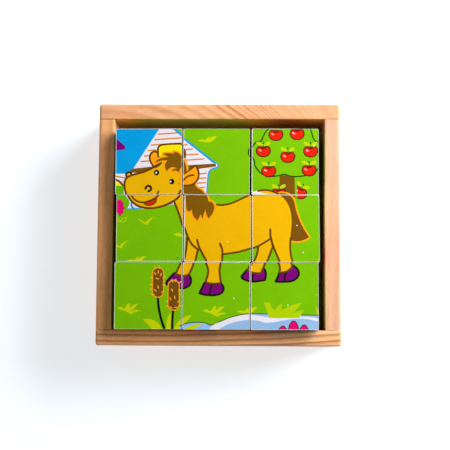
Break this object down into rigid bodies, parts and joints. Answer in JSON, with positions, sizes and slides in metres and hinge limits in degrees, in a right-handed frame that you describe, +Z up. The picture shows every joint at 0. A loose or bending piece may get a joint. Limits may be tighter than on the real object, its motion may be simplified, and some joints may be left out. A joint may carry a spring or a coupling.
{
  "type": "picture cube puzzle",
  "caption": "Picture block puzzle: loose wooden cubes covered in printed paper, standing in a square grid in an open pine tray with a thin plywood floor and a finger gap behind the cubes.",
  "frame": {"origin": "on the surface that the tray stands on, under the middle of the tray", "axes": "+Z up, +X to the right with the picture upright, +Y towards the back rail"},
  "size_m": [0.1286, 0.1286, 0.0406],
  "materials": {
    "rail_pine": "planed pine, eased edges, clear matt lacquer",
    "panel_plywood": "thin sanded plywood, unfinished",
    "brad_steel": "bright steel wire brads",
    "cube_wood": "sanded light wood, unfinished",
    "printed_paper": "glued coated paper, printed in colour, semi-gloss, with white cut edges"
  },
  "bodies": {
    "tray": {"rail_back": "rail_pine", "rail_front": "rail_pine", "rail_left": "rail_pine", "rail_right": "rail_pine", "base_panel": "panel_plywood", "brad_front_left_low": "brad_steel", "brad_front_left_high": "brad_steel", "brad_front_right_low": "brad_steel", "brad_front_right_high": "brad_steel", "brad_back_left_low": "brad_steel", "brad_back_left_high": "brad_steel", "brad_back_right_low": "brad_steel", "brad_back_right_high": "brad_steel"},
    "picture_cube_back_left": {"cube_back_left": "cube_wood", "top_picture_back_left": "printed_paper", "side_pictures_back_left": "printed_paper"},
    "picture_cube_back_middle": {"cube_back_middle": "cube_wood", "top_picture_back_middle": "printed_paper", "side_pictures_back_middle": "printed_paper"},
    "picture_cube_back_right": {"cube_back_right": "cube_wood", "top_picture_back_right": "printed_paper", "side_pictures_back_right": "printed_paper"},
    "picture_cube_middle_left": {"cube_middle_left": "cube_wood", "top_picture_middle_left": "printed_paper", "side_pictures_middle_left": "printed_paper"},
    "picture_cube_middle_middle": {"cube_middle_middle": "cube_wood", "top_picture_middle_middle": "printed_paper", "side_pictures_middle_middle": "printed_paper"},
    "picture_cube_middle_right": {"cube_middle_right": "cube_wood", "top_picture_middle_right": "printed_paper", "side_pictures_middle_right": "printed_paper"},
    "picture_cube_front_left": {"cube_front_left": "cube_wood", "top_picture_front_left": "printed_paper", "side_pictures_front_left": "printed_paper"},
    "picture_cube_front_middle": {"cube_front_middle": "cube_wood", "top_picture_front_middle": "printed_paper", "side_pictures_front_middle": "printed_paper"},
    "picture_cube_front_right": {"cube_front_right": "cube_wood", "top_picture_front_right": "printed_paper", "side_pictures_front_right": "printed_paper"}
  },
  "joints": [
    {"name": "lift_back_left", "type": "slide", "parent": "tray", "child": "picture_cube_back_left", "axis": [0, 0, 1], "range_m": [0, 0.045]},
    {"name": "lift_back_middle", "type": "slide", "parent": "tray", "child": "picture_cube_back_middle", "axis": [0, 0, 1], "range_m": [0, 0.045]},
    {"name": "lift_back_right", "type": "slide", "parent": "tray", "child": "picture_cube_back_right", "axis": [0, 0, 1], "range_m": [0, 0.045]},
    {"name": "lift_middle_left", "type": "slide", "parent": "tray", "child": "picture_cube_middle_left", "axis": [0, 0, 1], "range_m": [0, 0.045]},
    {"name": "lift_middle_middle", "type": "slide", "parent": "tray", "child": "picture_cube_middle_middle", "axis": [0, 0, 1], "range_m": [0, 0.045]},
    {"name": "lift_middle_right", "type": "slide", "parent": "tray", "child": "picture_cube_middle_right", "axis": [0, 0, 1], "range_m": [0, 0.045]},
    {"name": "lift_front_left", "type": "slide", "parent": "tray", "child": "picture_cube_front_left", "axis": [0, 0, 1], "range_m": [0, 0.045]},
    {"name": "lift_front_middle", "type": "slide", "parent": "tray", "child": "picture_cube_front_middle", "axis": [0, 0, 1], "range_m": [0, 0.045]},
    {"name": "lift_front_right", "type": "slide", "parent": "tray", "child": "picture_cube_front_right", "axis": [0, 0, 1], "range_m": [0, 0.045]}
  ]
}
